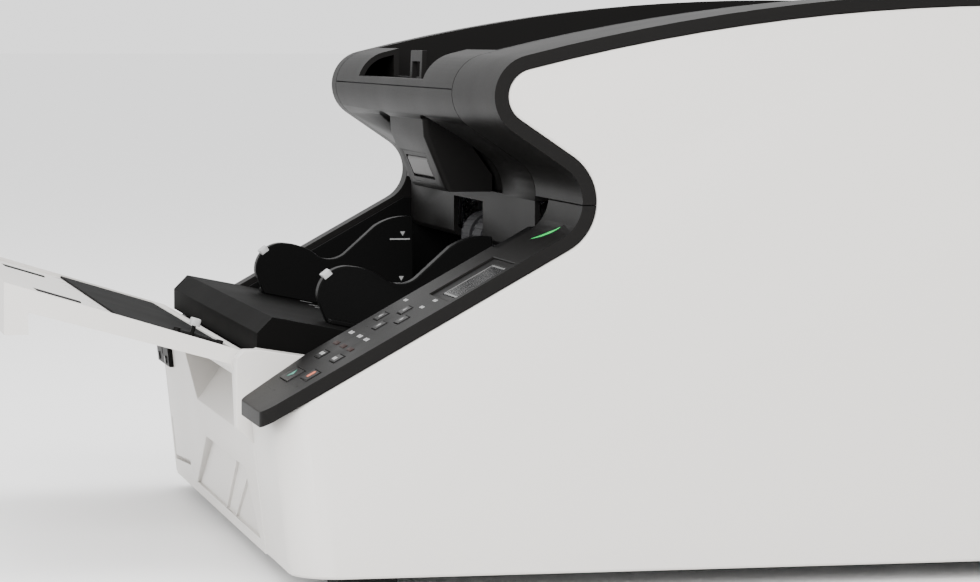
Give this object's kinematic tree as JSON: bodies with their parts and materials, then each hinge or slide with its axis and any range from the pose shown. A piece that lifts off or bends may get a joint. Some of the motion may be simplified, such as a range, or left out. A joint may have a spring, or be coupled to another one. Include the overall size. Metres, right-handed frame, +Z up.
{
  "type": "document scanner",
  "caption": "Desktop sheet-fed document scanner with a fold-up feed tray, a rising feed table with guides, an opening upper unit and a sloping control bar.",
  "frame": {"origin": "on the desk under the middle of the whole scanner with its feed tray open", "axes": "+X to the user's right, +Y from the user to the back, +Z up"},
  "size_m": [0.48, 0.69, 0.2921],
  "materials": {
    "white_plastic": "satin, fine grain",
    "dark_plastic": "satin, fine grain",
    "well_plastic": "matte",
    "key_plastic": "satin",
    "display": "clear over a dark ground",
    "light_green": "translucent",
    "scan_glass": "polished",
    "steel": "brushed",
    "sheet_metal": "zinc plated sheet",
    "roller_rubber": "ground rubber",
    "belt_rubber": "matte",
    "foot_rubber": "matte",
    "board": "coated board",
    "casing": "brushed"
  },
  "bodies": {
    "main_body": {"base_pan": "sheet_metal", "rubber_feet": "foot_rubber", "right_side_panel": "white_plastic", "left_side_panel": "white_plastic", "front_cover": "white_plastic", "rear_cover": "white_plastic", "right_upper_trim": "dark_plastic", "control_housing": "dark_plastic", "left_trim": "dark_plastic", "rear_top_cover": "dark_plastic", "feed_well": "well_plastic", "lower_frame": "sheet_metal", "lower_guide_plate": "sheet_metal", "turn_guide": "sheet_metal", "lower_scan_unit": "well_plastic", "lower_scan_glass": "scan_glass", "main_motor": "casing", "drive_belt": "belt_rubber", "main_board": "board", "power_supply": "casing", "power_inlet": "well_plastic", "data_port": "well_plastic", "display_window": "display", "status_light": "light_green", "tray_hinge_bracket": "dark_plastic", "hinge_pins": "steel", "cover_screws": "steel"},
    "upper_unit": {"nose_cover": "dark_plastic", "eject_tray": "dark_plastic", "upper_frame": "sheet_metal", "upper_scan_unit": "well_plastic", "upper_scan_glass": "scan_glass", "feed_motor": "casing", "button_bezel": "dark_plastic"},
    "feed_tray_body": {"feed_tray": "white_plastic", "tray_liner": "well_plastic"},
    "extension": {"tray_extension": "white_plastic"},
    "lift_table": {"feed_table": "well_plastic"},
    "right_guide": {"guide_right": "well_plastic"},
    "left_guide": {"guide_left": "well_plastic"},
    "button": {"release_button": "key_plastic"},
    "latch": {"latch_hooks": "steel"},
    "stopper": {"eject_stopper": "dark_plastic"},
    "switch": {"power_switch": "well_plastic"},
    "pickup": {"pickup_roller": "roller_rubber"},
    "feed": {"feed_roller": "roller_rubber"},
    "separation": {"separation_roller": "roller_rubber"},
    "front_drive": {"drive_roller_front": "roller_rubber"},
    "rear_drive": {"drive_roller_rear": "roller_rubber"},
    "front_idler": {"idler_roller_front": "roller_rubber"},
    "rear_idler": {"idler_roller_rear": "roller_rubber"},
    "eject": {"eject_roller": "roller_rubber"},
    "start_button": {"start_key": "key_plastic"},
    "stop_button": {"stop_key": "key_plastic"},
    "clear_button": {"clear_key": "key_plastic"},
    "menu_button": {"menu_key": "key_plastic"},
    "left_button": {"left_key": "key_plastic"},
    "down_button": {"down_key": "key_plastic"},
    "up_button": {"up_key": "key_plastic"},
    "right_button": {"right_key": "key_plastic"}
  },
  "joints": [
    {"name": "unit_hinge", "type": "hinge", "parent": "main_body", "child": "upper_unit", "pos_m": [0, 0.243, 0.276], "axis": [-1, 0, 0], "range_deg": [0, 50]},
    {"name": "tray_hinge", "type": "hinge", "parent": "main_body", "child": "feed_tray_body", "pos_m": [0, -0.226, 0.1055], "axis": [-1, 0, 0], "range_deg": [0, 73]},
    {"name": "extension_slide", "type": "slide", "parent": "feed_tray_body", "child": "extension", "axis": [0, -0.9568, 0.2907], "range_m": [0, 0.06]},
    {"name": "table_lift", "type": "slide", "parent": "main_body", "child": "lift_table", "axis": [0, 0, 1], "range_m": [0, 0.038]},
    {"name": "right_guide_slide", "type": "slide", "parent": "lift_table", "child": "right_guide", "axis": [1, 0, 0], "range_m": [-0.032, 0.04]},
    {"name": "left_guide_slide", "type": "slide", "parent": "lift_table", "child": "left_guide", "axis": [1, 0, 0], "range_m": [-0.04, 0.032]},
    {"name": "latch_pivot", "type": "hinge", "parent": "upper_unit", "child": "latch", "pos_m": [0, -0.041, 0.186], "axis": [-1, 0, 0], "range_deg": [0, 12], "stiffness_Nm_per_rad": 0.3, "springref_deg": -8.59},
    {"name": "button_press", "type": "slide", "parent": "upper_unit", "child": "button", "axis": [0, 0.9225, 0.3859], "range_m": [0, 0.006]},
    {"name": "stopper_pivot", "type": "hinge", "parent": "upper_unit", "child": "stopper", "pos_m": [0, -0.103, 0.2385], "axis": [-1, 0, 0], "range_deg": [0, 80]},
    {"name": "switch_rocker", "type": "hinge", "parent": "main_body", "child": "switch", "pos_m": [0, 0.337, 0.04], "axis": [-1, 0, 0], "range_deg": [0, 12]},
    {"name": "front_drive_spin", "type": "hinge", "parent": "main_body", "child": "front_drive", "pos_m": [0, 0.031, 0.13985], "axis": [1, 0, 0], "continuous": true},
    {"name": "rear_drive_spin", "type": "hinge", "parent": "main_body", "child": "rear_drive", "pos_m": [0, 0.141, 0.13985], "axis": [1, 0, 0], "continuous": true},
    {"name": "separation_spin", "type": "hinge", "parent": "main_body", "child": "separation", "pos_m": [0, -0.019, 0.13385], "axis": [1, 0, 0], "continuous": true},
    {"name": "feed_spin", "type": "hinge", "parent": "upper_unit", "child": "feed", "pos_m": [0, -0.019, 0.16615], "axis": [1, 0, 0], "continuous": true},
    {"name": "pickup_spin", "type": "hinge", "parent": "upper_unit", "child": "pickup", "pos_m": [0, -0.059, 0.158], "axis": [1, 0, 0], "continuous": true},
    {"name": "front_idler_spin", "type": "hinge", "parent": "upper_unit", "child": "front_idler", "pos_m": [0, 0.031, 0.16015], "axis": [1, 0, 0], "continuous": true},
    {"name": "rear_idler_spin", "type": "hinge", "parent": "upper_unit", "child": "rear_idler", "pos_m": [0, 0.141, 0.16015], "axis": [1, 0, 0], "continuous": true},
    {"name": "eject_spin", "type": "hinge", "parent": "upper_unit", "child": "eject", "pos_m": [0, 0.186, 0.246], "axis": [1, 0, 0], "continuous": true},
    {"name": "start_press", "type": "slide", "parent": "main_body", "child": "start_button", "axis": [0, 0.4879, -0.8729], "range_m": [0, 0.0008], "stiffness_N_per_m": 300, "springref_m": -0.0005},
    {"name": "stop_press", "type": "slide", "parent": "main_body", "child": "stop_button", "axis": [0, 0.4879, -0.8729], "range_m": [0, 0.0008], "stiffness_N_per_m": 300, "springref_m": -0.0005},
    {"name": "clear_press", "type": "slide", "parent": "main_body", "child": "clear_button", "axis": [0, 0.4879, -0.8729], "range_m": [0, 0.0008], "stiffness_N_per_m": 300, "springref_m": -0.0005},
    {"name": "menu_press", "type": "slide", "parent": "main_body", "child": "menu_button", "axis": [0, 0.4879, -0.8729], "range_m": [0, 0.0008], "stiffness_N_per_m": 300, "springref_m": -0.0005},
    {"name": "left_press", "type": "slide", "parent": "main_body", "child": "left_button", "axis": [0, 0.4879, -0.8729], "range_m": [0, 0.0008], "stiffness_N_per_m": 300, "springref_m": -0.0005},
    {"name": "down_press", "type": "slide", "parent": "main_body", "child": "down_button", "axis": [0, 0.4879, -0.8729], "range_m": [0, 0.0008], "stiffness_N_per_m": 300, "springref_m": -0.0005},
    {"name": "up_press", "type": "slide", "parent": "main_body", "child": "up_button", "axis": [0, 0.4879, -0.8729], "range_m": [0, 0.0008], "stiffness_N_per_m": 300, "springref_m": -0.0005},
    {"name": "right_press", "type": "slide", "parent": "main_body", "child": "right_button", "axis": [0, 0.4879, -0.8729], "range_m": [0, 0.0008], "stiffness_N_per_m": 300, "springref_m": -0.0005}
  ],
  "couplings": [
    {"joint": "left_guide_slide", "follows": "right_guide_slide", "ratio": -1},
    {"joint": "button_press", "follows": "latch_pivot", "m_per_rad": 0.0286},
    {"joint": "rear_drive_spin", "follows": "front_drive_spin", "ratio": 1},
    {"joint": "separation_spin", "follows": "front_drive_spin", "ratio": 0.625},
    {"joint": "feed_spin", "follows": "front_drive_spin", "ratio": -0.625},
    {"joint": "pickup_spin", "follows": "front_drive_spin", "ratio": -0.71429},
    {"joint": "front_idler_spin", "follows": "front_drive_spin", "ratio": -1},
    {"joint": "rear_idler_spin", "follows": "front_drive_spin", "ratio": -1},
    {"joint": "eject_spin", "follows": "front_drive_spin", "ratio": -1.1111}
  ]
}
